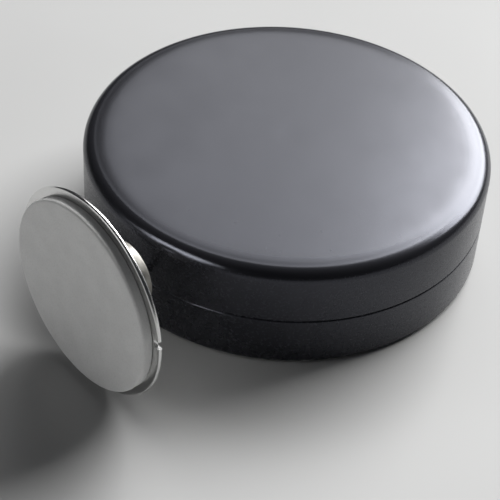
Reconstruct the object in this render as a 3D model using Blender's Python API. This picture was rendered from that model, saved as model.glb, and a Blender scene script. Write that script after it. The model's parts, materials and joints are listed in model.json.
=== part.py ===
"""Round retractable tether with an adhesive end plate.

A sprung reel sits between two moulded shells. Its coated cable leaves through a bush at the seam,
along -Y, and ends in a swivel ball inside the hub of a round metal plate with a foam pad.
The origin is the centre of the underside, +Z is up, and lengths are in metres.
"""
import math

import bmesh
import bpy
from mathutils import Matrix, Vector

MM = 0.001
GAP = 0.3 * MM                      # between pieces that touch or turn in each other

# Housing
HOUSING_RADIUS = 25.0 * MM
HOUSING_HEIGHT = 14.2 * MM
TOP_FILLET = 1.5 * MM
CROWN_RADIUS = 21.7 * MM            # the flat middle of the top
CROWN_DROP = 0.12 * MM              # how far the top has fallen at the start of its fillet
SEAM_Z = 6.8 * MM
SEAM_CHAMFER = 0.25 * MM
WALL = 1.6 * MM
TONGUE_RADIUS = 23.1 * MM
TONGUE_WALL = 0.8 * MM
TONGUE_TOP = 8.8 * MM
CORNER = 1.0 * MM                   # the bevels inside the shells
FOOT_RISE = 0.3 * MM                # the rim of the underside, above the pad's face
FLOOR_BOTTOM = 1.3 * MM
FLOOR_TOP = 2.5 * MM
AXLE_SOCKET_RADIUS = 3.0 * MM
ROOT = 0.4 * MM                     # how deep a boss runs into the top's wall

# Underside pad and shell screws
BASE_PAD_RADIUS = 21.9 * MM
BASE_PAD_HEIGHT = 1.0 * MM
SCREW_CIRCLE = 20.3 * MM
SCREW_ANGLES = (50, 170, 290)
SCREW_HEAD_RADIUS = 1.35 * MM
SCREW_HEAD_HEIGHT = 0.8 * MM
SCREW_SHANK_RADIUS = 0.7 * MM
SCREW_TOP = 9.5 * MM
SCREW_SEAT_RADIUS = 2.0 * MM
SCREW_SEAT_TOP = 3.4 * MM
SCREW_SEAT_BOTTOM = 2.4 * MM
SCREW_BOSS_RADIUS = 1.6 * MM

# Reel, axle and spring
AXLE_RADIUS = 1.9 * MM
AXLE_SPIGOT_RADIUS = 1.2 * MM
AXLE_SHOULDER = 10.6 * MM
AXLE_TOP = 12.2 * MM
AXLE_SQUARE = 2.4 * MM
AXLE_SLOT_WIDTH = 0.8 * MM
REEL_BOTTOM = 3.75 * MM
REEL_TOP = 9.85 * MM
REEL_BORE = AXLE_RADIUS + GAP
FLANGE_RADIUS = 18.2 * MM
FLANGE_HEIGHT = 0.7 * MM
DRUM_RADIUS = 12.0 * MM
CHAMBER_RADIUS = 10.9 * MM
WEB_TOP = 4.65 * MM
WASHER_RADIUS = 5.2 * MM
SPRING_STRIP = 0.2 * MM
SPRING_BOTTOM = 4.95 * MM
SPRING_TOP = 7.4 * MM
SPRING_TURNS = 6.5
SPRING_FIRST_RADIUS = 3.0 * MM
SPRING_LAST_RADIUS = 10.3 * MM
SPRING_STEPS_PER_TURN = 14
COVER_BOTTOM = 9.25 * MM

# Tether cable
CABLE_RADIUS = 0.45 * MM
CABLE_PITCH = 1.05 * MM             # from turn to turn, sideways and outwards
FIRST_TURN_RADIUS = 13.2 * MM
TURNS_PER_LAYER = 3
LAYERS = 3.5
POINTS_PER_TURN = 12
REEL_CRIMP_RADIUS = 0.55 * MM
REEL_CRIMP_LENGTH = 1.2 * MM
DRUM_INSIDE = 10.8 * MM             # where the cable ends, within the drum's wall
BEND_STEPS = 6
LEAD_BEND = 4.0 * MM
TAIL_BEND = 2.4 * MM

# Outlet bush, along the outlet's axis from the housing's centre
BUSH_RADIUS = 1.6 * MM
BUSH_FLANGE_RADIUS = 2.4 * MM
BUSH_INNER = 21.0 * MM
BUSH_FLANGE = 0.7 * MM
BUSH_OUTER = 25.0 * MM
BUSH_THROAT = (23.2 * MM, 23.9 * MM)
BUSH_THROAT_RADIUS = 0.8 * MM
BUSH_TRUMPET_RADIUS = 1.6 * MM
STOP_RADIUS = 0.85 * MM
STOP_SPAN = (24.1 * MM, 24.8 * MM)

# End plate, along its own axis from the swivel ball's centre
PLATE_RADIUS = 12.45 * MM
PLATE_YAW = math.radians(-5.9)      # from -Y, seen from above
PLATE_LEAN = math.radians(1.5)      # the face looks this much upwards
NOTCH_WIDTH = 1.0 * MM
NOTCH_DEPTH = 0.8 * MM
NOTCH_ANGLE = math.radians(7)       # from level, on the right as one looks at the face
BALL_X = 2.77 * MM
BALL_Y = -31.31 * MM
BALL_RADIUS = 2.3 * MM
CRIMP_START = -0.3 * MM
CRIMP_END = 1.0 * MM
CRIMP_RADIUS = 0.95 * MM
SOCKET_RADIUS = 2.5 * MM
SOCKET_LIP = math.radians(63)     # half the angle of the socket's open mouth
HUB_RADIUS = 3.87 * MM
HUB_END = -2.0 * MM
HUB_BACK = 3.1 * MM
HUB_MOUTH_RADIUS = 3.25 * MM
SPIGOT_RADIUS = 1.2 * MM
SPIGOT_END = 4.55 * MM
SPIGOT_WASHER_RADIUS = 2.4 * MM
PLATE_BACK = 3.4 * MM
PLATE_FRONT = 3.9 * MM
PAD_BACK = 4.2 * MM
PAD_FRONT = 5.2 * MM
PAD_RADIUS = 11.45 * MM
PLATE_LIFT = 0.02 * MM              # of the rim's lowest point above the surface

# Facets round each turned piece
SHELL_FACETS = 72
REEL_FACETS = 36
SMALL_FACETS = 24
TINY_FACETS = 16

# Colour, roughness and metallic value of each finish
FINISHES = {
    "black_shell": ((0.012, 0.012, 0.017), 0.30, 0.0),
    "black_plastic": ((0.015, 0.015, 0.017), 0.45, 0.0),
    "natural_nylon": ((0.72, 0.70, 0.64), 0.45, 0.0),
    "coated_cable": ((0.02, 0.02, 0.02), 0.40, 0.0),
    "turned_steel": ((0.74, 0.74, 0.72), 0.28, 1.0),
    "bright_steel": ((0.80, 0.80, 0.79), 0.15, 1.0),
    "spring_steel": ((0.35, 0.37, 0.42), 0.35, 1.0),
    "brass": ((0.78, 0.60, 0.30), 0.30, 1.0),
    "white_foam": ((0.80, 0.80, 0.79), 0.85, 0.0),
}


def clear_scene():
    for obj in list(bpy.data.objects):
        bpy.data.objects.remove(obj, do_unlink=True)


def finish(name):
    """The material of that name, made at its first use."""
    material = bpy.data.materials.get(name)
    if material is None:
        colour, roughness, metallic = FINISHES[name]
        material = bpy.data.materials.new(name)
        material.use_nodes = True
        shader = material.node_tree.nodes["Principled BSDF"]
        shader.inputs["Base Color"].default_value = (*colour, 1.0)
        shader.inputs["Roughness"].default_value = roughness
        shader.inputs["Metallic"].default_value = metallic
    return material


def pivot(name, place=Matrix()):
    empty = bpy.data.objects.new(name, None)
    empty.matrix_world = place
    bpy.context.scene.collection.objects.link(empty)
    return empty


def piece(name, data, material, parent):
    obj = bpy.data.objects.new(name, data)
    obj.parent = parent
    if material:
        data.materials.append(finish(material))
    bpy.context.scene.collection.objects.link(obj)
    return obj


def arc(centre, radius, start, end, steps):
    """Points (r, z) along an arc, by angles in degrees from +r."""
    points = []
    for step in range(steps + 1):
        angle = math.radians(start + (end - start) * step / steps)
        points.append((centre[0] + radius * math.cos(angle), centre[1] + radius * math.sin(angle)))
    return points


def turned_mesh(name, profile, facets):
    """A closed solid: the closed outline of (r, z) points spun about Z."""
    bm = bmesh.new()
    verts = [bm.verts.new((r, 0, z)) for r, z in profile]
    for a, b in zip(verts, verts[1:] + verts[:1]):
        if a.co.x > 0 or b.co.x > 0:
            bm.edges.new((a, b))
    bmesh.ops.spin(bm, geom=bm.verts[:] + bm.edges[:], cent=(0, 0, 0), axis=(0, 0, 1),
                   angle=2 * math.pi, steps=facets, use_merge=True)
    bmesh.ops.remove_doubles(bm, verts=bm.verts[:], dist=0.001 * MM)
    bmesh.ops.recalc_face_normals(bm, faces=bm.faces[:])
    mesh = bpy.data.meshes.new(name)
    bm.to_mesh(mesh)
    bm.free()
    mesh.shade_smooth()
    mesh.set_sharp_from_angle(angle=math.radians(35))
    return mesh


def turned(name, profile, material, parent, facets=SMALL_FACETS):
    return piece(name, turned_mesh(name, profile, facets), material, parent)


def rod(radius, bottom, top):
    """The profile of a plain round rod."""
    return [(0, bottom), (radius, bottom), (radius, top), (0, top)]


def ring(inner, outer, bottom, top):
    """The profile of a plain ring."""
    return [(inner, bottom), (outer, bottom), (outer, top), (inner, top)]


def box_mesh(name, size, centre):
    bm = bmesh.new()
    place = Matrix.Translation(centre) @ Matrix.Diagonal((*size, 1))
    bmesh.ops.create_cube(bm, size=1, matrix=place)
    mesh = bpy.data.meshes.new(name)
    bm.to_mesh(mesh)
    bm.free()
    return mesh


def shape(obj, operation, tools):
    """Join the tools to the object or cut them out of it. A tool is a mesh and its place."""
    for number, (mesh, place) in enumerate(tools):
        tool = piece(f"{obj.name}_{operation.lower()}_{number}", mesh, None, obj.parent)
        tool.matrix_local = place
        tool.hide_render = True
        tool.display_type = "WIRE"
        modifier = obj.modifiers.new(tool.name, "BOOLEAN")
        modifier.operation = operation
        modifier.solver = "EXACT"
        modifier.object = tool


def tube(name, points, material, parent, resolution=2):
    """A round cable along the points."""
    curve = bpy.data.curves.new(name, "CURVE")
    curve.dimensions = "3D"
    curve.bevel_depth = CABLE_RADIUS
    curve.bevel_resolution = resolution
    curve.use_fill_caps = True
    spline = curve.splines.new("POLY")
    spline.points.add(len(points) - 1)
    for target, point in zip(spline.points, points):
        target.co = (*point, 1)
    return piece(name, curve, material, parent)


def around(radius, degrees, height=0.0):
    angle = math.radians(degrees)
    return Vector((radius * math.cos(angle), radius * math.sin(angle), height))


def along_outlet():
    """Turn a piece's +Z to the outlet's direction, -Y, at the seam's height."""
    return Matrix.Translation((0, 0, SEAM_Z)) @ Matrix.Rotation(math.radians(90), 4, "X")


def plate_normal():
    flat = Matrix.Rotation(PLATE_YAW, 3, "Z") @ Vector((0, -1, 0))
    return flat * math.cos(PLATE_LEAN) + Vector((0, 0, math.sin(PLATE_LEAN)))


def ball_centre():
    """The height puts the plate's rim on the surface that the housing stands on."""
    height = PLATE_LIFT + PLATE_RADIUS * math.cos(PLATE_LEAN) - PLATE_BACK * math.sin(PLATE_LEAN)
    return Vector((BALL_X, BALL_Y, height))


def plate_place():
    """The plate's own frame: +Z out of its face, +X level, and the origin in the swivel ball."""
    out = plate_normal()
    level = Vector((0, 0, 1)).cross(out).normalized()
    frame = Matrix((level, out.cross(level), out)).transposed().to_4x4()
    return Matrix.Translation(ball_centre()) @ frame


def tail_bend():
    """How the cable gets from the bush to the ball: one arc and one straight run.

    Gives the arc's start, the direction in which it bends, its angle, and the straight length.
    """
    start = Vector((0, -STOP_SPAN[1], SEAM_Z))
    reach = ball_centre() - start
    run = -reach.y
    aside = Vector((reach.x, 0, reach.z))
    rise = aside.length
    # the tangent from the arc's circle to the ball
    to_centre = math.hypot(run, rise - TAIL_BEND)
    straight = math.sqrt(to_centre ** 2 - TAIL_BEND ** 2)
    angle = math.atan2(rise - TAIL_BEND, run) + math.atan2(TAIL_BEND, straight)
    return start, aside.normalized(), angle, straight


def ball_place():
    """The swivel ball's frame: +Z along the cable's end, away from the housing."""
    _, aside, angle, _ = tail_bend()
    heading = Vector((0, -1, 0)) * math.cos(angle) + aside * math.sin(angle)
    return Matrix.Translation(ball_centre()) @ heading.to_track_quat("Z", "Y").to_matrix().to_4x4()


# Housing

def upper_shell(housing):
    top, lip, inner = HOUSING_HEIGHT, SEAM_Z + GAP / 2, HOUSING_RADIUS - WALL
    ceiling = top - WALL
    profile = [(0, top), (CROWN_RADIUS, top)]
    profile += arc((HOUSING_RADIUS - TOP_FILLET, top - CROWN_DROP - TOP_FILLET), TOP_FILLET, 90, 0, 5)
    profile += [(HOUSING_RADIUS, lip + SEAM_CHAMFER), (HOUSING_RADIUS - SEAM_CHAMFER, lip), (inner, lip)]
    profile += [(inner, ceiling - CORNER), (inner - CORNER, ceiling), (0, ceiling)]
    shell = turned("upper_shell", profile, "black_shell", housing, SHELL_FACETS)
    root = ceiling + ROOT
    socket = ring(AXLE_SPIGOT_RADIUS + GAP, AXLE_SOCKET_RADIUS, AXLE_SHOULDER + GAP, root)
    tools = [(turned_mesh("axle_socket", socket, SMALL_FACETS), Matrix())]
    boss = ring(SCREW_SHANK_RADIUS + GAP, SCREW_BOSS_RADIUS, SCREW_SEAT_TOP + GAP, root)
    for degrees in SCREW_ANGLES:
        place = Matrix.Translation(around(SCREW_CIRCLE, degrees))
        tools.append((turned_mesh("screw_boss", boss, SMALL_FACETS), place))
    shape(shell, "UNION", tools)
    shape(shell, "DIFFERENCE", [outlet_hole()])


def lower_shell(housing):
    rim, inner = SEAM_Z - GAP / 2, HOUSING_RADIUS - WALL
    pocket, tongue = BASE_PAD_RADIUS + GAP, TONGUE_RADIUS - TONGUE_WALL
    edge = CORNER / 2
    profile = [(0, FLOOR_BOTTOM), (pocket, FLOOR_BOTTOM), (pocket, FOOT_RISE)]
    profile += [(HOUSING_RADIUS - edge, FOOT_RISE), (HOUSING_RADIUS, FOOT_RISE + edge)]
    profile += [(HOUSING_RADIUS, rim - SEAM_CHAMFER), (HOUSING_RADIUS - SEAM_CHAMFER, rim)]
    profile += [(TONGUE_RADIUS, rim), (TONGUE_RADIUS, TONGUE_TOP), (tongue, TONGUE_TOP)]
    profile += [(tongue, rim - edge), (inner, rim - edge - (inner - tongue))]
    profile += [(inner, FLOOR_TOP + edge), (inner - edge, FLOOR_TOP), (0, FLOOR_TOP)]
    shell = turned("lower_shell", profile, "black_shell", housing, SHELL_FACETS)
    seat = rod(SCREW_SEAT_RADIUS, FLOOR_BOTTOM + GAP, SCREW_SEAT_TOP)
    head, shank = SCREW_HEAD_RADIUS + GAP, SCREW_SHANK_RADIUS + GAP
    hole = [(0, 0), (head, 0), (head, SCREW_SEAT_BOTTOM)]
    hole += [(shank, SCREW_SEAT_BOTTOM), (shank, SCREW_TOP), (0, SCREW_TOP)]
    places = [Matrix.Translation(around(SCREW_CIRCLE, degrees)) for degrees in SCREW_ANGLES]
    shape(shell, "UNION", [(turned_mesh("screw_seat", seat, SMALL_FACETS), place) for place in places])
    cuts = [(turned_mesh("screw_hole", hole, SMALL_FACETS), place) for place in places]
    side = AXLE_SQUARE + 2 * GAP
    depth = FLOOR_TOP - FLOOR_BOTTOM
    cuts.append((box_mesh("axle_pocket", (side, side, depth), (0, 0, FLOOR_TOP)), Matrix()))
    cuts.append(outlet_hole())
    shape(shell, "DIFFERENCE", cuts)


def outlet_hole():
    hole = rod(BUSH_RADIUS + GAP, BUSH_INNER, BUSH_OUTER + WALL)
    return turned_mesh("outlet_hole", hole, SMALL_FACETS), along_outlet()


def shell_screws(housing):
    head_top = FLOOR_BOTTOM + SCREW_HEAD_HEIGHT
    recess, point = 0.4 * MM, 1.0 * MM
    profile = [(0, FLOOR_BOTTOM + recess), (recess, FLOOR_BOTTOM), (SCREW_HEAD_RADIUS, FLOOR_BOTTOM)]
    profile += [(SCREW_HEAD_RADIUS, head_top), (SCREW_SHANK_RADIUS, head_top)]
    profile += [(SCREW_SHANK_RADIUS, SCREW_TOP - point), (0, SCREW_TOP)]
    for number, degrees in enumerate(SCREW_ANGLES, 1):
        screw = turned(f"shell_screw_{number}", profile, "spring_steel", housing, TINY_FACETS)
        screw.location = around(SCREW_CIRCLE, degrees)


def base_pad(housing):
    turned("base_pad", rod(BASE_PAD_RADIUS, 0, BASE_PAD_HEIGHT), "white_foam", housing, SHELL_FACETS)


def outlet_bush(housing):
    inner, outer = BUSH_THROAT
    body = BUSH_INNER + BUSH_FLANGE
    edge = 0.2 * MM
    profile = [(BUSH_TRUMPET_RADIUS, BUSH_INNER), (BUSH_FLANGE_RADIUS, BUSH_INNER)]
    profile += [(BUSH_FLANGE_RADIUS, body), (BUSH_RADIUS, body)]
    profile += [(BUSH_RADIUS, BUSH_OUTER - edge), (BUSH_RADIUS - edge, BUSH_OUTER)]
    profile += [(STOP_RADIUS + GAP, BUSH_OUTER), (STOP_RADIUS + GAP, outer)]
    profile += [(BUSH_THROAT_RADIUS, outer), (BUSH_THROAT_RADIUS, inner)]
    bush = turned("outlet_bush", profile, "black_plastic", housing)
    bush.matrix_local = along_outlet()


# Reel

def centre_axle(housing):
    profile = [(0, FLOOR_TOP + GAP), (AXLE_RADIUS, FLOOR_TOP + GAP), (AXLE_RADIUS, AXLE_SHOULDER)]
    profile += [(AXLE_SPIGOT_RADIUS, AXLE_SHOULDER), (AXLE_SPIGOT_RADIUS, AXLE_TOP), (0, AXLE_TOP)]
    axle = turned("centre_axle", profile, "brass", housing)
    key_low, key_high = (FLOOR_BOTTOM + FLOOR_TOP) / 2 + GAP, FLOOR_TOP + 2 * GAP
    key_size = (AXLE_SQUARE, AXLE_SQUARE, key_high - key_low)
    key = box_mesh("axle_key", key_size, (0, 0, (key_low + key_high) / 2))
    shape(axle, "UNION", [(key, Matrix())])
    slot_height = SPRING_TOP - SPRING_BOTTOM + 2 * GAP
    slot_centre = (0, 0, (SPRING_TOP + SPRING_BOTTOM) / 2)
    slot = box_mesh("axle_slot", (3 * AXLE_RADIUS, AXLE_SLOT_WIDTH, slot_height), slot_centre)
    shape(axle, "DIFFERENCE", [(slot, Matrix())])


def thrust_washers(housing):
    below = ring(REEL_BORE, WASHER_RADIUS, FLOOR_TOP + GAP, REEL_BOTTOM - GAP)
    above = ring(REEL_BORE, WASHER_RADIUS, REEL_TOP + GAP, AXLE_SHOULDER)
    turned("lower_thrust_washer", below, "natural_nylon", housing)
    turned("upper_thrust_washer", above, "natural_nylon", housing)


def cable_reel(reel):
    low, high = REEL_BOTTOM + FLANGE_HEIGHT, REEL_TOP - FLANGE_HEIGHT
    profile = [(REEL_BORE, REEL_BOTTOM), (FLANGE_RADIUS, REEL_BOTTOM), (FLANGE_RADIUS, low)]
    profile += [(DRUM_RADIUS, low), (DRUM_RADIUS, high), (FLANGE_RADIUS, high), (FLANGE_RADIUS, REEL_TOP)]
    profile += [(CHAMBER_RADIUS, REEL_TOP), (CHAMBER_RADIUS, WEB_TOP), (REEL_BORE, WEB_TOP)]
    drum = turned("cable_reel", profile, "natural_nylon", reel, REEL_FACETS)
    reach = 3 * (DRUM_RADIUS - CHAMBER_RADIUS)
    middle = (DRUM_RADIUS + CHAMBER_RADIUS) / 2
    slot_size = (reach, AXLE_SLOT_WIDTH, SPRING_TOP - SPRING_BOTTOM + 2 * GAP)
    slot = box_mesh("spring_slot", slot_size, (-middle, 0, (SPRING_TOP + SPRING_BOTTOM) / 2))
    hole = turned_mesh("cable_hole", rod(CABLE_RADIUS + GAP, -reach / 2, reach / 2), TINY_FACETS)
    shape(drum, "DIFFERENCE", [(slot, Matrix()), (hole, through_drum(middle))])


def through_drum(radius):
    """Turn a piece's +Z outwards along the cable's way through the drum's wall."""
    place = Matrix.Translation(around(radius, winding_start(), winding_height(0)))
    turn = Matrix.Rotation(math.radians(winding_start()), 4, "Z")
    return place @ turn @ Matrix.Rotation(math.radians(90), 4, "Y")


def spring_cover(reel):
    profile = ring(REEL_BORE, CHAMBER_RADIUS - GAP, COVER_BOTTOM, REEL_TOP)
    turned("spring_cover", profile, "natural_nylon", reel, REEL_FACETS)


def power_spring(housing):
    """A flat spiral from the axle's slot to the drum's, with a straight tail in each."""
    steps = round(SPRING_TURNS * SPRING_STEPS_PER_TURN)
    path = [Vector((-AXLE_RADIUS, 0, 0)), Vector((AXLE_RADIUS, 0, 0))]
    for step in range(steps + 1):
        share = step / steps
        radius = SPRING_FIRST_RADIUS + (SPRING_LAST_RADIUS - SPRING_FIRST_RADIUS) * share
        path.append(around(radius, 360 * SPRING_TURNS * share))
    path.append(path[-1].normalized() * (DRUM_RADIUS - GAP))
    piece("power_spring", strip_mesh("power_spring", path), "spring_steel", housing)


def strip_mesh(name, path):
    """An upright strip of spring steel along a path of points at height 0."""
    bm = bmesh.new()
    rows = []
    for number, point in enumerate(path):
        before, after = path[max(number - 1, 0)], path[min(number + 1, len(path) - 1)]
        run = (after - before).normalized()
        aside = Vector((-run.y, run.x, 0)) * SPRING_STRIP / 2
        low, high = Vector((0, 0, SPRING_BOTTOM)), Vector((0, 0, SPRING_TOP))
        corners = (point - aside + low, point + aside + low, point + aside + high, point - aside + high)
        rows.append([bm.verts.new(corner) for corner in corners])
    for row, following in zip(rows, rows[1:]):
        for k in range(4):
            bm.faces.new((row[k], row[(k + 1) % 4], following[(k + 1) % 4], following[k]))
    bm.faces.new(rows[0])
    bm.faces.new(rows[-1])
    bmesh.ops.recalc_face_normals(bm, faces=bm.faces[:])
    mesh = bpy.data.meshes.new(name)
    bm.to_mesh(mesh)
    bm.free()
    return mesh


# Cable

def winding_height(turn):
    """The turns lie side by side, and each layer runs back over the one before."""
    layer, across = divmod(turn, TURNS_PER_LAYER)
    share = across / TURNS_PER_LAYER
    if int(layer) % 2:
        share = 1 - share
    return SEAM_Z + TURNS_PER_LAYER * CABLE_PITCH * (0.5 - share)


def winding_radius(turn):
    """A layer is level, and climbs to the next one over its last quarter turn."""
    layer, across = divmod(turn, TURNS_PER_LAYER)
    climb = max(0.0, 1 - (TURNS_PER_LAYER - across) * 4) if turn < winding_turns() - 1 else 0.0
    return FIRST_TURN_RADIUS + CABLE_PITCH * (layer + climb)


def winding_turns():
    return TURNS_PER_LAYER * LAYERS


def lead_line():
    """The run from the reel to the bush: the angle of its bend, and its line's tangent point."""
    bend_start = BUSH_THROAT[0]
    last = winding_radius(winding_turns())
    # bend*cos(angle) + bend_start*sin(angle) = last + bend
    size = math.hypot(LEAD_BEND, bend_start)
    angle = math.asin((last + LEAD_BEND) / size) - math.atan2(LEAD_BEND, bend_start)
    tangent = Vector((math.cos(angle), -math.sin(angle), 0)) * last
    return angle, tangent


def winding_start():
    """The angle, in degrees, at which the cable leaves the drum's wall."""
    _, tangent = lead_line()
    return math.degrees(math.atan2(tangent.y, tangent.x)) + 360 * winding_turns()


def cable_winding(reel):
    start = winding_start()
    points = [around(DRUM_INSIDE, start, winding_height(0))]
    points.append(around(DRUM_RADIUS, start, winding_height(0)))
    points.append(around((DRUM_RADIUS + FIRST_TURN_RADIUS) / 2, start - 1.5, winding_height(0)))
    for step in range(1, round(winding_turns() * POINTS_PER_TURN) + 1):
        turn = step / POINTS_PER_TURN
        points.append(around(winding_radius(turn), start - 360 * turn, winding_height(turn)))
    tube("cable_winding", points, "coated_cable", reel, resolution=1)


def reel_crimp(reel):
    """Holds the cable's inner end, inside the drum's wall."""
    profile = rod(REEL_CRIMP_RADIUS, -REEL_CRIMP_LENGTH, 0)
    crimp = turned("reel_crimp", profile, "brass", reel, TINY_FACETS)
    crimp.matrix_local = through_drum(DRUM_INSIDE - GAP)


def cable_lead(housing):
    """From the outermost turn, straight to a bend in the bush's inner mouth."""
    angle, tangent = lead_line()
    bend_start = Vector((0, -BUSH_THROAT[0], SEAM_Z))
    bend = []
    for step in range(BEND_STEPS + 1):
        part = angle * step / BEND_STEPS
        bend.append(bend_start + Vector((1 - math.cos(part), math.sin(part), 0)) * LEAD_BEND)
    first = tangent + Vector((0, 0, winding_height(winding_turns())))
    heading = (bend[-1] - first).normalized()
    points = [first + heading * GAP, *reversed(bend), Vector((0, -STOP_SPAN[0] + 2 * GAP, SEAM_Z))]
    tube("cable_lead", points, "coated_cable", housing)


def cable_stop(tether):
    """A bead crimped on the cable, which meets the bush and ends its return."""
    low, high = STOP_SPAN
    bore = CABLE_RADIUS + GAP / 2
    edge = 0.15 * MM
    profile = [(bore, low), (STOP_RADIUS - edge, low), (STOP_RADIUS, low + edge)]
    profile += [(STOP_RADIUS, high - edge), (STOP_RADIUS - edge, high), (bore, high)]
    turned("cable_stop", profile, "turned_steel", tether).matrix_local = along_outlet()


def cable_tail(tether):
    """From the bush's throat, through the stop bead, up to the swivel ball."""
    start, aside, angle, straight = tail_bend()
    out = Vector((0, -1, 0))
    points = [Vector((0, -STOP_SPAN[0] + GAP, SEAM_Z))]
    for step in range(BEND_STEPS + 1):
        part = angle * step / BEND_STEPS
        points.append(start + (out * math.sin(part) + aside * (1 - math.cos(part))) * TAIL_BEND)
    heading = out * math.cos(angle) + aside * math.sin(angle)
    points.append(points[-1] + heading * (straight + CRIMP_START - GAP))
    tube("cable_tail", points, "coated_cable", tether)


def end_crimp(tether):
    """Swaged on the cable's end, inside the ball's counterbore, so that the ball turns on the cable."""
    edge = 0.2 * MM
    profile = [(0, CRIMP_START), (CRIMP_RADIUS, CRIMP_START), (CRIMP_RADIUS, CRIMP_END - edge)]
    profile += [(CRIMP_RADIUS - edge, CRIMP_END), (0, CRIMP_END)]
    turned("end_crimp", profile, "brass", tether, TINY_FACETS).matrix_local = ball_place()


def swivel_ball(ball):
    """Bored for the cable, with a deeper, wider bore at the crimp's end."""
    bore, wide = CABLE_RADIUS + GAP, CRIMP_RADIUS + GAP
    shoulder = CRIMP_START - GAP
    low = math.degrees(math.acos(bore / BALL_RADIUS))
    high = math.degrees(math.acos(wide / BALL_RADIUS))
    profile = arc((0, 0), BALL_RADIUS, -low, high, 12) + [(wide, shoulder), (bore, shoulder)]
    turned("swivel_ball", profile, "bright_steel", ball)


# End plate

def end_hub(hub):
    """A turned socket for the ball, with a spigot through the plate."""
    edge = 0.15 * MM
    lip = math.degrees(SOCKET_LIP)
    profile = [(0, SOCKET_RADIUS)] + arc((0, 0), SOCKET_RADIUS, 90, lip - 90, 9)[1:]
    profile += [(HUB_MOUTH_RADIUS, HUB_END), (HUB_RADIUS - edge, HUB_END), (HUB_RADIUS, HUB_END + edge)]
    profile += [(HUB_RADIUS, HUB_BACK - edge), (HUB_RADIUS - edge, HUB_BACK), (SPIGOT_RADIUS, HUB_BACK)]
    profile += [(SPIGOT_RADIUS, SPIGOT_END), (0, SPIGOT_END)]
    turned("end_hub", profile, "turned_steel", hub, REEL_FACETS)


def spigot_washer(hub):
    """The spigot is spread over it, so that the plate can spin but not come off."""
    low = PLATE_FRONT + GAP
    profile = ring(SPIGOT_RADIUS + GAP / 2, SPIGOT_WASHER_RADIUS, low, SPIGOT_END)
    turned("spigot_washer", profile, "turned_steel", hub)


def end_plate(plate):
    edge = 0.12 * MM
    hole = SPIGOT_RADIUS + GAP
    profile = [(hole, PLATE_BACK), (PLATE_RADIUS - edge, PLATE_BACK), (PLATE_RADIUS, PLATE_BACK + edge)]
    profile += [(PLATE_RADIUS, PLATE_FRONT - edge), (PLATE_RADIUS - edge, PLATE_FRONT), (hole, PLATE_FRONT)]
    disc = turned("end_plate", profile, "bright_steel", plate, SHELL_FACETS)
    thickness = PLATE_FRONT - PLATE_BACK
    notch_size = (2 * NOTCH_DEPTH, NOTCH_WIDTH, 3 * thickness)
    notch = box_mesh("rim_notch", notch_size, (PLATE_RADIUS, 0, (PLATE_BACK + PLATE_FRONT) / 2))
    shape(disc, "DIFFERENCE", [(notch, Matrix.Rotation(NOTCH_ANGLE, 4, "Z"))])


def plate_pad(plate):
    """A foam disc, hollow behind for the spread end of the spigot."""
    recess = SPIGOT_WASHER_RADIUS + GAP
    floor = SPIGOT_END + GAP
    profile = [(0, PAD_FRONT), (PAD_RADIUS, PAD_FRONT), (PAD_RADIUS, PAD_BACK)]
    profile += [(recess, PAD_BACK), (recess, floor), (0, floor)]
    turned("plate_pad", profile, "white_foam", plate, SHELL_FACETS)


def build():
    clear_scene()
    housing = pivot("housing")
    upper_shell(housing)
    lower_shell(housing)
    shell_screws(housing)
    base_pad(housing)
    outlet_bush(housing)
    centre_axle(housing)
    thrust_washers(housing)
    power_spring(housing)
    cable_lead(housing)
    reel = pivot("reel_pivot")
    cable_reel(reel)
    spring_cover(reel)
    cable_winding(reel)
    reel_crimp(reel)
    tether = pivot("tether_slide")
    cable_stop(tether)
    cable_tail(tether)
    end_crimp(tether)
    ball = pivot("ball_pivot", ball_place())
    swivel_ball(ball)
    hub = pivot("hub_pivot", plate_place())
    end_hub(hub)
    spigot_washer(hub)
    plate = pivot("plate_pivot", plate_place())
    end_plate(plate)
    plate_pad(plate)


build()
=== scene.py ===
"""The looks of the retractable tether: its pieces' fine surfaces, materials, studio light and camera.

Lengths are in metres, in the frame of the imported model: +Z up, the cable's outlet towards -Y.
"""

import json
import math

import bmesh
import bpy
from mathutils import Matrix, Vector


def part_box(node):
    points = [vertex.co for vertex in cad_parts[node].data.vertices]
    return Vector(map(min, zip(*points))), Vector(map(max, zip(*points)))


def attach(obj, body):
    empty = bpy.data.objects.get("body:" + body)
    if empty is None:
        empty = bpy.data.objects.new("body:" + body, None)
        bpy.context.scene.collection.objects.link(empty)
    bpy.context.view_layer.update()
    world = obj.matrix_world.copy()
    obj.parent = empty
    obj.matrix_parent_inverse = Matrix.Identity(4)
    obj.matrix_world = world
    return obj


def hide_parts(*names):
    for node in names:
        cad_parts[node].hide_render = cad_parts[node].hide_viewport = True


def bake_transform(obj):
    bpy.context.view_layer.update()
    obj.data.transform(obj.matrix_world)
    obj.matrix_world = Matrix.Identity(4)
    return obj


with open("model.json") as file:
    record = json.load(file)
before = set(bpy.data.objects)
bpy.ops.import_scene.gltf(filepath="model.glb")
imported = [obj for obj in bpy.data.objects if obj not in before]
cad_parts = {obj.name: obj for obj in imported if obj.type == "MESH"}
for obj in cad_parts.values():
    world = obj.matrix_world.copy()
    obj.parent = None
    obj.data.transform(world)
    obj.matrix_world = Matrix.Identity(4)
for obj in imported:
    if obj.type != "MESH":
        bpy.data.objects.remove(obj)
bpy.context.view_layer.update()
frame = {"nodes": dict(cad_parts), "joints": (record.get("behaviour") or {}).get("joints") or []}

MM = 0.001
GAP = 0.3 * MM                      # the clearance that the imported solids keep
SKIN = 0.04 * MM                    # how close the pieces here come where they touch
SEAM = 6.8 * MM                     # the height where the two shells meet
SHELL_WALL = 1.6 * MM
CABLE_RADIUS = 0.45 * MM
CABLE_BEND = 2.4 * MM               # the radius of the one bend between the outlet and the ball
BALL_RADIUS = 2.3 * MM
SOCKET_RADIUS = 2.5 * MM

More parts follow.
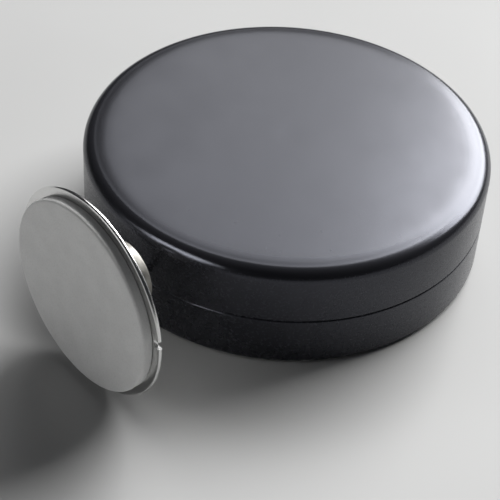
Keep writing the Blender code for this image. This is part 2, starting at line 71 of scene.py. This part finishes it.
JOINTS = {joint["name"]: joint for joint in frame["joints"]}
BALL = Vector(JOINTS["plate_tilt"]["pos_m"])
PLATE_AXIS = Vector(JOINTS["plate_swivel"]["axis"])
CABLE_HEADING = Vector(JOINTS["ball_roll"]["axis"])

# Facets round each turned piece
FINE = 256
MEDIUM = 128
COARSE = 64

# Linear colours and gloss that more than one texture of a finish needs
SHELL_BLACK = (0.017, 0.017, 0.020)
SHELL_DUSTY = (0.020, 0.020, 0.023)
SHELL_EDGE_ROUGHNESS = 0.24

# Degrees from -Y round towards +X, and above the floor
CAMERA_AZIMUTH = 39.0
CAMERA_ELEVATION = 39.6
CAMERA_DISTANCE = 189.7 * MM
CAMERA_LOOK = Vector((0, 0, 5 * MM))
CAMERA_LENS, CAMERA_SENSOR = 108, 36
CAMERA_TURNS = (("Y", 1.09), ("X", -2.27), ("Z", 4.8))      # off that line, in the camera's own frame

# Azimuth, elevation, width, height in metres, and power in watts
LIGHT_DISTANCE = 2.7
LIGHTS = {
    "window": (182, 35, 2.2, 1.2, 122),
    "wall": (203, 42, 2.1, 1.2, 23),
    "fill_left": (-25, 15, 1.8, 1.2, 8.5),
}

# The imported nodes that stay, all of them out of sight, and their finishes
KEPT = {
    "shell_screw_1": "screw", "shell_screw_2": "screw", "shell_screw_3": "screw",
    "centre_axle": "brass", "reel_crimp": "brass", "end_crimp": "brass",
    "lower_thrust_washer": "nylon", "upper_thrust_washer": "nylon",
    "cable_reel": "nylon", "spring_cover": "nylon",
    "spigot_washer": "hub",
    "cable_winding": "cable", "cable_lead": "cable",
}


# Frames of the pieces

def outlet_frame():
    """+Z along the outlet, -Y in the frame, with the origin on the housing's axis."""
    low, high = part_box("outlet_bush")
    return Matrix.Translation((0, 0, (low.z + high.z) / 2)) @ Matrix.Rotation(math.radians(90), 4, "X")


def plate_frame():
    """+Z out of the plate's face, +X level, with the origin in the swivel ball."""
    level = Vector((0, 0, 1)).cross(PLATE_AXIS).normalized()
    turn = Matrix((level, PLATE_AXIS.cross(level), PLATE_AXIS)).transposed().to_4x4()
    return Matrix.Translation(BALL) @ turn


def cable_frame():
    """+Z along the cable's end, with the origin in the swivel ball."""
    return Matrix.Translation(BALL) @ CABLE_HEADING.to_track_quat("Z", "Y").to_matrix().to_4x4()


def span(node, place):
    """A turned node's (largest radius, lowest z, highest z) in its own frame."""
    back = place.inverted()
    points = [back @ vertex.co for vertex in frame["nodes"][node].data.vertices]
    heights = [point.z for point in points]
    return max(math.hypot(point.x, point.y) for point in points), min(heights), max(heights)


# Mesh making

def arc(centre, radius, start, end, steps):
    """Points (r, z) along an arc, by angles in degrees from +r."""
    points = []
    for step in range(steps + 1):
        angle = math.radians(start + (end - start) * step / steps)
        points.append((centre[0] + radius * math.cos(angle), centre[1] + radius * math.sin(angle)))
    return points


def corner(r, z, size, start, end, steps=5):
    """A small round corner whose arc has its centre at (r, z)."""
    return arc((r, z), size, start, end, steps)


def turned_mesh(name, profile, facets):
    """A closed solid: the closed outline of (r, z) points spun about Z."""
    bm = bmesh.new()
    verts = [bm.verts.new((r, 0, z)) for r, z in profile]
    for a, b in zip(verts, verts[1:] + verts[:1]):
        if a.co.x > 0 or b.co.x > 0:
            bm.edges.new((a, b))
    bmesh.ops.spin(bm, geom=bm.verts[:] + bm.edges[:], cent=(0, 0, 0), axis=(0, 0, 1),
                   angle=2 * math.pi, steps=facets, use_merge=True)
    bmesh.ops.remove_doubles(bm, verts=bm.verts[:], dist=0.0005 * MM)
    bmesh.ops.recalc_face_normals(bm, faces=bm.faces[:])
    mesh = bpy.data.meshes.new(name)
    bm.to_mesh(mesh)
    bm.free()
    return mesh


def smooth(mesh, angle=30):
    mesh.shade_smooth()
    mesh.set_sharp_from_angle(angle=math.radians(angle))


def box_mesh(name, size, centre):
    bm = bmesh.new()
    bmesh.ops.create_cube(bm, size=1, matrix=Matrix.Translation(centre) @ Matrix.Diagonal((*size, 1)))
    mesh = bpy.data.meshes.new(name)
    bm.to_mesh(mesh)
    bm.free()
    return mesh


def show(name, mesh, place=Matrix()):
    obj = bpy.data.objects.new(name, mesh)
    obj.matrix_world = place
    bpy.context.scene.collection.objects.link(obj)
    return obj


def cut(obj, tools):
    """Cut the tools, each a mesh and its place, out of the piece for good."""
    bpy.context.view_layer.update()
    cutters = []
    for mesh, place in tools:
        cutter = show("cutter", mesh, place)
        modifier = obj.modifiers.new("cut", "BOOLEAN")
        modifier.operation = "DIFFERENCE"
        modifier.solver = "EXACT"
        modifier.object = cutter
        cutters.append(cutter)
    depsgraph = bpy.context.evaluated_depsgraph_get()
    mesh = bpy.data.meshes.new_from_object(obj.evaluated_get(depsgraph))
    obj.modifiers.clear()
    obj.data = mesh
    for cutter in cutters:
        bpy.data.objects.remove(cutter)
    smooth(mesh)


def dress(obj, body, finish, slot, *nodes):
    """Give a piece its body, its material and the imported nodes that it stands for."""
    obj.data.materials.clear()
    obj.data.materials.append(finish)
    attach(obj, body)
    if nodes:
        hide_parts(*nodes)
    return obj


# Materials

class Finish:
    """A Principled material whose textures are laid out in millimetres of the piece's own frame."""

    def __init__(self, name, colour, roughness, metallic=0.0):
        self.material = bpy.data.materials.new(name)
        self.material.use_nodes = True
        self.tree = self.material.node_tree
        self.shader = self.tree.nodes["Principled BSDF"]
        self.shader.inputs["Base Color"].default_value = (*colour, 1)
        self.shader.inputs["Roughness"].default_value = roughness
        self.shader.inputs["Metallic"].default_value = metallic
        place = self.tree.nodes.new("ShaderNodeTexCoord").outputs["Object"]
        self.place = self.vector("SCALE", place, scale=1 / MM)

    def set(self, **values):
        for name, value in values.items():
            self.shader.inputs[name.replace("_", " ")].default_value = value

    def link(self, socket, value):
        if isinstance(value, bpy.types.NodeSocket):
            self.tree.links.new(value, socket)
        else:
            socket.default_value = value

    def vector(self, operation, first, second=None, scale=None):
        node = self.tree.nodes.new("ShaderNodeVectorMath")
        node.operation = operation
        self.link(node.inputs[0], first)
        if second is not None:
            self.link(node.inputs[1], second)
        if scale is not None:
            node.inputs["Scale"].default_value = scale
        return node.outputs["Value" if operation == "LENGTH" else "Vector"]

    def math(self, operation, first, second=0.0):
        node = self.tree.nodes.new("ShaderNodeMath")
        node.operation = operation
        self.link(node.inputs[0], first)
        self.link(node.inputs[1], second)
        return node.outputs["Value"]

    def noise(self, size, detail=3.0, vector=None, stretch=(1, 1, 1)):
        """Noise whose lumps are about that many millimetres across, longer where stretch is below 1."""
        node = self.tree.nodes.new("ShaderNodeTexNoise")
        node.inputs["Scale"].default_value = 1 / size
        node.inputs["Detail"].default_value = detail
        at = self.place if vector is None else vector
        if stretch != (1, 1, 1):
            at = self.vector("MULTIPLY", at, stretch)
        self.link(node.inputs["Vector"], at)
        return node.outputs["Fac"]

    def cells(self, size):
        node = self.tree.nodes.new("ShaderNodeTexVoronoi")
        node.inputs["Scale"].default_value = 1 / size
        self.link(node.inputs["Vector"], self.place)
        return node.outputs["Distance"]

    def ramp(self, value, low, high, start=0.0, end=1.0):
        """The value's stretch from low to high, eased, as start to end."""
        node = self.tree.nodes.new("ShaderNodeMapRange")
        node.interpolation_type = "SMOOTHSTEP"
        self.link(node.inputs["Value"], value)
        for name, number in zip(("From Min", "From Max", "To Min", "To Max"), (low, high, start, end)):
            node.inputs[name].default_value = number
        return node.outputs["Result"]

    def mix(self, share, first, second):
        node = self.tree.nodes.new("ShaderNodeMix")
        node.data_type = "RGBA"
        self.link(node.inputs[0], share)
        for socket, colour in zip((node.inputs[6], node.inputs[7]), (first, second)):
            self.link(socket, (*colour, 1) if isinstance(colour, tuple) else colour)
        return node.outputs[2]

    def bump(self, height, depth, under=None):
        """Raise the surface by the height's share of depth, in millimetres."""
        node = self.tree.nodes.new("ShaderNodeBump")
        node.inputs["Distance"].default_value = depth * MM
        self.link(node.inputs["Height"], height)
        if under is not None:
            self.link(node.inputs["Normal"], under)
        return node.outputs["Normal"]

    def parts(self):
        """The place's x, y and z, and the distance from the piece's axis."""
        node = self.tree.nodes.new("ShaderNodeSeparateXYZ")
        self.link(node.inputs[0], self.place)
        x, y, z = node.outputs
        flat = self.vector("MULTIPLY", self.place, (1, 1, 0))
        return x, y, z, self.vector("LENGTH", flat)

    def surface(self, colour=None, roughness=None, normal=None):
        for name, value in (("Base Color", colour), ("Roughness", roughness), ("Normal", normal)):
            if value is not None:
                self.link(self.shader.inputs[name], value)
        return self.material


def shell_finish():
    """Black moulded ABS: a glossy edge, a slightly hazy top with a faint gate mark, and grained sides."""
    finish = Finish("black_shell", SHELL_BLACK, 0.25)
    finish.set(IOR=1.52, Specular_Tint=(0.82, 0.85, 1.0, 1.0))
    radius = finish.parts()[3]
    haze = finish.ramp(finish.noise(6.0, detail=5), 0.3, 0.7, 0.22, 0.27)
    grain = finish.ramp(finish.noise(0.35, detail=2), 0.3, 0.7, 0.25, 0.28)
    past_crown = finish.ramp(radius, 21.0, 23.6)
    past_fillet = finish.ramp(radius, 24.3, 24.95)
    top = finish.math("MULTIPLY", haze, finish.math("SUBTRACT", 1.0, past_crown))
    edge = finish.math("MULTIPLY", SHELL_EDGE_ROUGHNESS, past_crown)
    side = finish.math("MULTIPLY", past_fillet, finish.math("SUBTRACT", grain, SHELL_EDGE_ROUGHNESS))
    gloss = finish.math("ADD", finish.math("ADD", top, edge), side)
    waves = finish.bump(finish.noise(6.0, detail=2), 0.022)
    gate = finish.bump(finish.ramp(radius, 0.0, 2.6), 0.02, waves)
    peel = finish.bump(finish.noise(0.5, detail=2), 0.0005, gate)
    dust = finish.ramp(finish.noise(0.6, detail=6), 0.64, 0.82)
    return finish.surface(finish.mix(dust, SHELL_BLACK, SHELL_DUSTY), gloss, peel)


def plastic_finish(name, colour, pale, roughness):
    """Smooth moulded plastic with faint flow marks."""
    finish = Finish(name, colour, roughness)
    flow = finish.noise(1.8, detail=4, stretch=(1, 1, 0.3))
    tone = finish.mix(finish.ramp(flow, 0.35, 0.7), colour, pale)
    gloss = finish.ramp(flow, 0.3, 0.7, roughness - 0.05, roughness + 0.07)
    return finish.surface(tone, gloss, finish.bump(finish.noise(0.25), 0.004))


def foam_finish():
    """Closed-cell foam tape under a smooth skin: fine pits with painted shade in them, a few larger cells,
    faint blotches.
    """
    finish = Finish("white_foam", (0.72, 0.72, 0.70), 0.85)
    finish.set(Sheen_Weight=0.1, Sheen_Roughness=0.5)
    blotch = finish.noise(3.0, detail=5)
    fine = finish.noise(0.16, detail=3)
    tone = finish.mix(finish.ramp(blotch, 0.3, 0.7), (0.81, 0.81, 0.80), (0.86, 0.86, 0.85))
    # Painted shade: the colour greys a little where the fine noise sinks the skin into pits.
    tone = finish.mix(finish.ramp(fine, 0.35, 0.5, 0.14, 0.0), tone, (0.50, 0.50, 0.49))
    cells = finish.bump(finish.cells(0.28), 0.02)
    skin = finish.bump(fine, 0.012, cells)
    return finish.surface(tone, finish.ramp(blotch, 0.2, 0.8, 0.78, 0.92), finish.bump(blotch, 0.05, skin))


def turned_finish(name, colour, roughness, ring_pitch, ring_depth):
    """Metal off the lathe: fine rings round its axis, and faint stains."""
    finish = Finish(name, colour, roughness, 1.0)
    height, radius = finish.parts()[2:]
    along = finish.math("ADD", radius, height)
    rings = finish.math("SINE", finish.math("MULTIPLY", along, 2 * math.pi / ring_pitch))
    smear = finish.noise(1.2, detail=5)
    scratches = finish.noise(0.12, detail=2, stretch=(0.15, 1, 1))
    gloss = finish.ramp(smear, 0.25, 0.75, roughness * 0.8, roughness * 1.35)
    dull = tuple(0.8 * part for part in colour)
    tone = finish.mix(finish.ramp(smear, 0.5, 0.8, 0.0, 0.6), colour, dull)
    normal = finish.bump(scratches, 0.002, finish.bump(rings, ring_depth))
    return finish.surface(tone, gloss, normal)


def make_finishes():
    return {
        "shell": shell_finish(),
        "black": plastic_finish("black_plastic", (0.014, 0.014, 0.016), (0.022, 0.022, 0.024), 0.42),
        "nylon": plastic_finish("natural_nylon", (0.70, 0.68, 0.61), (0.76, 0.74, 0.69), 0.42),
        "cable": plastic_finish("coated_cable", (0.016, 0.016, 0.017), (0.03, 0.03, 0.032), 0.35),
        "foam": foam_finish(),
        "hub": turned_finish("turned_steel", (0.36, 0.35, 0.325), 0.48, 0.12, 0.003),
        "plate": turned_finish("bright_steel", (0.74, 0.74, 0.73), 0.2, 0.09, 0.0008),
        "spring": turned_finish("spring_steel", (0.33, 0.36, 0.42), 0.32, 0.30, 0.001),
        "screw": turned_finish("screw_steel", (0.48, 0.48, 0.47), 0.35, 0.15, 0.002),
        "brass": turned_finish("brass", (0.78, 0.60, 0.30), 0.28, 0.14, 0.002),
    }


# Housing

def outlet_hole():
    """A cutter for the shells, a little wider than the bush."""
    low, high = span("outlet_bush", outlet_frame())[1:]
    radius, beyond = radius_of_bush() + SKIN, high + MM
    hole = [(0, low), (radius, low), (radius, beyond), (0, beyond)]
    return turned_mesh("outlet_hole", hole, MEDIUM), outlet_frame()


def radius_of_bush():
    """Of the part of the bush that shows, which is narrower than its inner flange."""
    low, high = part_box("outlet_bush")
    centre, outer_end = (low.z + high.z) / 2, low.y + 0.5 * MM
    points = [vertex.co for vertex in frame["nodes"]["outlet_bush"].data.vertices]
    return max(math.hypot(point.x, point.z - centre) for point in points if point.y < outer_end)


def housing_top(finishes):
    """The upper shell: a flat top that slopes a little to its round edge, and a bevel at the seam."""
    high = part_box("upper_shell")[1]
    radius, top = high.x, high.z
    inner, ceiling, lip = radius - SHELL_WALL, top - SHELL_WALL, SEAM + SKIN
    fillet, bevel, side_end = 1.5 * MM, 0.14 * MM, 0.1 * MM
    sink, drop = 0.02 * MM, 0.12 * MM
    slope, crown = radius * 0.87, radius - fillet
    profile = [(0, top)]
    for share in (0.2, 0.4, 0.6, 0.74, 0.8, 0.85):
        profile.append((radius * share, top - sink * share * share))
    slope_steps = 5
    for step in range(1, slope_steps + 1):
        part = step / slope_steps
        profile.append((slope + (crown - slope) * part, top - sink - (drop - sink) * part * part))
    profile += arc((crown, top - drop - fillet), fillet, 86, 0, 16)
    profile += [(radius, SEAM + 3 * MM), (radius, lip + bevel + side_end)]
    profile += corner(radius - bevel, lip + bevel, bevel, 0, -80)
    profile += [(radius - 2 * bevel, lip), (inner, lip)]
    profile += [(inner, ceiling - MM), (inner - MM, ceiling), (0, ceiling)]
    shell = show("housing_top", turned_mesh("housing_top", profile, FINE))
    cut(shell, [outlet_hole()])
    return dress(shell, "housing", finishes["shell"], "black_shell", "upper_shell")


def housing_base(finishes):
    """The lower shell: a straight side, a small bevel at the foot, and a pocket for the pad underneath."""
    low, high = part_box("lower_shell")
    radius, foot = high.x, low.z
    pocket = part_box("base_pad")[1].x + GAP
    rim, floor_low, floor_high = SEAM - SKIN, 1.3 * MM, 2.5 * MM
    inner, bevel, edge, side_end = radius - SHELL_WALL, 0.2 * MM, 0.5 * MM, 0.1 * MM
    tongue, tongue_wall = inner - GAP, 0.8 * MM
    pocket_bevel, pocket_edge = 0.1 * MM, 0.15 * MM
    profile = [(0, floor_low), (pocket - pocket_bevel, floor_low), (pocket, floor_low - pocket_bevel)]
    profile += corner(pocket + pocket_edge, foot + pocket_edge, pocket_edge, 180, 270)
    profile += corner(radius - edge, foot + edge, edge, 270, 360, 8)
    profile += [(radius, foot + 3 * MM), (radius, rim - bevel - side_end)]
    profile += corner(radius - bevel, rim - bevel, bevel, 0, 80)
    profile += [(radius - 2 * bevel, rim), (tongue, rim), (tongue, high.z)]
    profile += [(tongue - tongue_wall, high.z), (tongue - tongue_wall, rim - edge), (inner, rim - 2 * edge)]
    profile += [(inner, floor_high + edge), (inner - edge, floor_high), (0, floor_high)]
    shell = show("housing_base", turned_mesh("housing_base", profile, FINE))
    cut(shell, [outlet_hole()])
    return dress(shell, "housing", finishes["shell"], "black_shell", "lower_shell")


def base_foam(finishes):
    """The pad underneath, with its die-cut edge bulging a little under the housing's weight."""
    radius, low, high = span("base_pad", Matrix())
    bulge = 0.12 * MM
    middle = (low + high) / 2
    profile = [(0, low), (radius - 4 * bulge, low)]
    profile += corner(radius - 2 * bulge, low + bulge, bulge, 270, 330)
    profile += [(radius, middle)]
    profile += corner(radius - 2 * bulge, high - bulge, bulge, 30, 90)
    profile += [(radius - 4 * bulge, high), (0, high)]
    pad = show("base_foam", turned_mesh("base_foam", profile, FINE))
    smooth(pad.data, 50)
    dress(pad, "housing", finishes["foam"], "white_foam", "base_pad")
    return pad


def outlet_guide(finishes):
    """The bush: flush with the housing outside, with a round-lipped mouth."""
    place = outlet_frame()
    flange, low, high = span("outlet_bush", place)
    shown = radius_of_bush()
    throat, mouth, lip = 0.8 * MM, 1.15 * MM, 0.14 * MM
    trumpet, trumpet_end = flange - 0.8 * MM, low + 2.2 * MM
    step, bottom = low + 0.7 * MM, high - 1.1 * MM
    profile = [(trumpet, low), (flange, low), (flange, step), (shown, step), (shown, high - lip)]
    profile += corner(shown - lip, high - lip, lip, 0, 90)
    profile += corner(mouth + lip, high - lip, lip, 90, 180)
    profile += [(mouth, bottom + lip)]
    profile += corner(mouth - lip, bottom + lip, lip, 0, -90)
    profile += corner(throat + lip, bottom - lip, lip, 90, 180)
    profile += [(throat, bottom - 2 * lip), (throat, trumpet_end)]
    bush = show("outlet_guide", turned_mesh("outlet_guide", profile, MEDIUM), place)
    smooth(bush.data, 35)
    return dress(bush, "housing", finishes["black"], "black_plastic", "outlet_bush")


# Cable

def cable_tube(name, points, radius, sides=24, strands=7, groove=0.03, lay=9.0):
    """A coated rope along the points: its strands show as shallow ridges that turn once in lay radii."""
    bm = bmesh.new()
    rings, run, aside = [], 0.0, None
    for number, point in enumerate(points):
        before, after = points[max(number - 1, 0)], points[min(number + 1, len(points) - 1)]
        along = (after - before).normalized()
        if number:
            run += (point - points[number - 1]).length
        if aside is None:
            aside = along.orthogonal().normalized()
        aside = (aside - along * aside.dot(along)).normalized()
        other = along.cross(aside)
        ring = []
        for side in range(sides):
            angle = 2 * math.pi * side / sides
            twist = 2 * math.pi * run / (lay * radius)
            ridge = 1 - groove * (0.5 - 0.5 * math.cos(strands * angle - twist))
            spot = point + (aside * math.cos(angle) + other * math.sin(angle)) * radius * ridge
            ring.append(bm.verts.new(spot))
        rings.append(ring)
    for ring, following in zip(rings, rings[1:]):
        for k in range(sides):
            bm.faces.new((ring[k], ring[(k + 1) % sides], following[(k + 1) % sides], following[k]))
    bm.faces.new(list(reversed(rings[0])))
    bm.faces.new(rings[-1])
    bmesh.ops.recalc_face_normals(bm, faces=bm.faces[:])
    mesh = bpy.data.meshes.new(name)
    bm.to_mesh(mesh)
    bm.free()
    smooth(mesh, 60)
    return show(name, mesh)


def tail_route():
    """From the outlet's mouth, in one bend and one straight run, to the ball."""
    low, high = span("cable_stop", outlet_frame())[1:]
    start = outlet_frame() @ Vector((0, 0, high))
    out = Vector((0, -1, 0))
    aside = (CABLE_HEADING - out * CABLE_HEADING.dot(out)).normalized()
    angle = out.angle(CABLE_HEADING)
    points = [start - out * (high - low + 0.4 * MM), start - out * (high - low) / 2]
    steps = 24
    for step in range(steps + 1):
        part = angle * step / steps
        points.append(start + (out * math.sin(part) + aside * (1 - math.cos(part))) * CABLE_BEND)
    end = BALL - CABLE_HEADING * 0.35 * MM
    bent = points[-1]
    for step in range(1, steps + 1):
        points.append(bent.lerp(end, step / steps))
    return points


def tether_cable(finishes):
    cable = cable_tube("tether_cable", tail_route(), CABLE_RADIUS)
    return dress(cable, "tether", finishes["cable"], "coated_cable", "cable_tail")


def stop_bead(finishes):
    """The bead that is crimped on the cable, with a waist where the tool closed on it."""
    place = outlet_frame()
    radius, low, high = span("cable_stop", place)
    bore, edge = 0.47 * MM, 0.12 * MM
    middle = (low + high) / 2
    profile = [(bore, low)] + corner(radius - edge, low + edge, edge, 270, 360)
    profile += [(radius - 0.06 * MM, middle)]
    profile += corner(radius - edge, high - edge, edge, 0, 90) + [(bore, high)]
    bead = show("stop_bead", turned_mesh("stop_bead", profile, COARSE), place)
    smooth(bead.data, 40)
    return dress(bead, "tether", finishes["hub"], "turned_steel", "cable_stop")


def pulled_cable(finishes):
    """The length that appears between the outlet and the stop bead as the tether is pulled out."""
    place = outlet_frame()
    low = span("cable_stop", place)[1]
    end = low + 0.1 * MM
    start = end - 0.5 * MM
    steps = 12
    points = [place @ Vector((0, 0, start + (end - start) * step / steps)) for step in range(steps + 1)]
    cable = cable_tube("pulled_cable", points, CABLE_RADIUS - 0.01 * MM)
    cable.data.materials.append(finishes["cable"])
    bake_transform(cable)
    return cable


def ball_swivel(finishes):
    """The ball, bored for the cable and countersunk where the cable comes in."""
    place = cable_frame()
    bore, wide, shoulder, bevel = 0.5 * MM, 1.2 * MM, -0.6 * MM, 0.1 * MM
    low = math.acos((bore + bevel) / BALL_RADIUS)
    high = math.acos(wide / BALL_RADIUS)
    profile = arc((0, 0), BALL_RADIUS, -math.degrees(low), math.degrees(high), 40)
    profile += [(wide, shoulder), (bore, shoulder), (bore, bevel - BALL_RADIUS * math.sin(low))]
    ball = show("ball_swivel", turned_mesh("ball_swivel", profile, MEDIUM), place)
    smooth(ball.data, 35)
    return dress(ball, "ball", finishes["plate"], "bright_steel", "swivel_ball")


# Spring

def strip(name, path, low, high, thickness):
    """An upright strip of sheet between two heights, along a path at height 0."""
    bm = bmesh.new()
    rows = []
    for number, point in enumerate(path):
        before, after = path[max(number - 1, 0)], path[min(number + 1, len(path) - 1)]
        run = (after - before).normalized()
        aside = Vector((-run.y, run.x, 0)) * thickness / 2
        spots = (point - aside, point + aside, point + aside, point - aside)
        heights = (low, low, high, high)
        rows.append([bm.verts.new(spot + Vector((0, 0, height))) for spot, height in zip(spots, heights)])
    for row, following in zip(rows, rows[1:]):
        for k in range(4):
            bm.faces.new((row[k], row[(k + 1) % 4], following[(k + 1) % 4], following[k]))
    bm.faces.new(rows[0])
    bm.faces.new(rows[-1])
    bmesh.ops.recalc_face_normals(bm, faces=bm.faces[:])
    mesh = bpy.data.meshes.new(name)
    bm.to_mesh(mesh)
    bm.free()
    smooth(mesh, 30)
    return show(name, mesh)


def return_spring(finishes):
    """The flat spiral, its inner end in the axle's slot, and the tab that hooks it into the drum's wall."""
    low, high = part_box("power_spring")
    thickness, turns, steps_per_turn = 0.2 * MM, 6.5, 48
    axle, first, last, drum = 1.9 * MM, 3.0 * MM, 10.3 * MM, 11.7 * MM
    path = [Vector((-axle, 0, 0)), Vector((axle, 0, 0))]
    for step in range(round(turns * steps_per_turn) + 1):
        turned = step / steps_per_turn
        radius = first + (last - first) * turned / turns
        angle = 2 * math.pi * turned
        path.append(Vector((radius * math.cos(angle), radius * math.sin(angle), 0)))
    spiral = strip("return_spring", path, low.z, high.z, thickness)
    outward = path[-1].normalized()
    tab = strip("spring_tab", [outward * (last + thickness), outward * drum], low.z, high.z, thickness)
    dress(tab, "reel", finishes["spring"], "spring_steel")
    return dress(spiral, "housing", finishes["spring"], "spring_steel", "power_spring")


# End plate

def hub_body(finishes):
    """The turned hub: a lip rolled in over the ball, a barrel with a shallow groove, and the spigot."""
    place = plate_frame()
    radius, low, high = span("end_hub", place)
    lip_angle, mouth, back, spigot = 63, 3.25 * MM, 3.1 * MM, 1.2 * MM
    edge, groove, sag, bevel = 0.15 * MM, 0.12 * MM, 0.06 * MM, 0.1 * MM
    lip_r = SOCKET_RADIUS * math.sin(math.radians(lip_angle))
    lip_z = -SOCKET_RADIUS * math.cos(math.radians(lip_angle))
    profile = [(0, SOCKET_RADIUS)] + arc((0, 0), SOCKET_RADIUS, 90, lip_angle - 90, 40)[1:]
    profile += [((mouth + lip_r) / 2, (low + lip_z) / 2 - sag), (mouth, low)]
    profile += corner(radius - edge, low + edge, edge, 270, 360, 8)
    middle = low + MM
    profile += [(radius, middle - groove), (radius - groove, middle), (radius, middle + groove)]
    profile += corner(radius - edge, back - edge, edge, 0, 90, 8)
    profile += [(spigot, back), (spigot, high - bevel), (spigot - bevel, high), (0, high)]
    hub = show("hub_body", turned_mesh("hub_body", profile, FINE), place)
    smooth(hub.data, 35)
    return dress(hub, "hub", finishes["hub"], "turned_steel", "end_hub")


def end_disc(finishes):
    """The plate: pressed from sheet, with a tumbled, nearly half-round edge and a small notch in it."""
    place = plate_frame()
    radius, low, high = span("end_plate", place)
    hole, front, back = 1.24 * MM, 0.22 * MM, 0.2 * MM
    notch_size, notch_angle = (1.6 * MM, 1.0 * MM, 3 * MM), 7
    profile = [(hole, low)] + corner(radius - back, low + back, back, 270, 360)
    profile += corner(radius - front, high - front, front, 0, 90, 8) + [(hole, high)]
    disc = show("end_disc", turned_mesh("end_disc", profile, FINE), place)
    notch = box_mesh("rim_notch", notch_size, (radius, 0, (low + high) / 2))
    cut(disc, [(notch, place @ Matrix.Rotation(math.radians(notch_angle), 4, "Z"))])
    return dress(disc, "plate", finishes["plate"], "bright_steel", "end_plate")


def plate_foam(finishes):
    """The pad on the plate, stuck to it by its whole back, with a soft, slightly crowned edge."""
    place = plate_frame()
    radius, _, high = span("plate_pad", place)
    low = span("end_plate", place)[2] + SKIN
    recess, floor, edge, crown = 2.45 * MM, 4.6 * MM, 0.34 * MM, 0.03 * MM
    profile = [(0, high), (radius * 0.5, high), (radius - 0.8 * MM, high - 0.01 * MM)]
    profile += corner(radius - edge, high - edge - crown, edge, 80, 0, 8)
    profile += [(radius - 0.05 * MM, (low + high) / 2), (radius - 0.02 * MM, low + 0.1 * MM)]
    profile += [(radius - 0.1 * MM, low)]
    profile += [(recess, low), (recess, floor), (0, floor)]
    pad = show("plate_foam", turned_mesh("plate_foam", profile, FINE), place)
    smooth(pad.data, 50)
    dress(pad, "plate", finishes["foam"], "white_foam", "plate_pad")
    return pad


# Studio

def towards(azimuth, elevation):
    """The direction from the object to something at that azimuth, 0 at -Y and 90 at +X, and elevation."""
    a, e = math.radians(azimuth), math.radians(elevation)
    return Vector((math.sin(a) * math.cos(e), -math.cos(a) * math.cos(e), math.sin(e)))


def add_camera():
    data = bpy.data.cameras.new("camera")
    data.lens, data.sensor_width = CAMERA_LENS, CAMERA_SENSOR
    data.clip_start, data.clip_end = 0.01, 10
    camera = bpy.data.objects.new("camera", data)
    spot = CAMERA_LOOK + towards(CAMERA_AZIMUTH, CAMERA_ELEVATION) * CAMERA_DISTANCE
    place = Matrix.Translation(spot)
    for axis, degrees in (("Z", CAMERA_AZIMUTH), ("X", 90 - CAMERA_ELEVATION), *CAMERA_TURNS):
        place = place @ Matrix.Rotation(math.radians(degrees), 4, axis)
    camera.matrix_world = place
    bpy.context.scene.collection.objects.link(camera)
    bpy.context.scene.camera = camera


def add_light(name, azimuth, elevation, width, height, power):
    data = bpy.data.lights.new(name, "AREA")
    data.shape = "RECTANGLE"
    data.size, data.size_y = width, height
    data.energy = power
    light = bpy.data.objects.new(name, data)
    direction = towards(azimuth, elevation)
    light.location = direction * LIGHT_DISTANCE
    light.rotation_euler = direction.to_track_quat("Z", "Y").to_euler()
    bpy.context.scene.collection.objects.link(light)


def add_floor():
    """A plain pale floor, 12 m square."""
    bm = bmesh.new()
    bmesh.ops.create_grid(bm, x_segments=8, y_segments=8, size=6)
    mesh = bpy.data.meshes.new("floor")
    bm.to_mesh(mesh)
    bm.free()
    floor = show("floor", mesh, Matrix.Translation((0, 0, -0.02 * MM)))
    finish = Finish("pale_floor", (0.54, 0.54, 0.535), 0.6)
    tone = finish.mix(finish.ramp(finish.noise(60.0), 0.3, 0.7), (0.53, 0.53, 0.525), (0.56, 0.56, 0.555))
    floor.data.materials.append(finish.surface(tone))


def add_world():
    world = bpy.data.worlds.new("studio")
    world.use_nodes = True
    back = world.node_tree.nodes["Background"]
    back.inputs["Color"].default_value = (0.80, 0.84, 0.92, 1)
    back.inputs["Strength"].default_value = 0.03
    bpy.context.scene.world = world


def add_studio():
    bpy.context.scene.view_settings.view_transform = "Standard"
    add_floor()
    add_world()
    for name, settings in LIGHTS.items():
        add_light(name, *settings)


# The object

def main():
    finishes = make_finishes()
    for node, finish in KEPT.items():
        frame["nodes"][node].data.materials.clear()
        frame["nodes"][node].data.materials.append(finishes[finish])
    housing_top(finishes)
    housing_base(finishes)
    base_foam(finishes)
    outlet_guide(finishes)
    tether_cable(finishes)
    stop_bead(finishes)
    pulled_cable(finishes)
    return_spring(finishes)
    ball_swivel(finishes)
    hub_body(finishes)
    end_disc(finishes)
    plate_foam(finishes)
    add_studio()
    add_camera()


main()
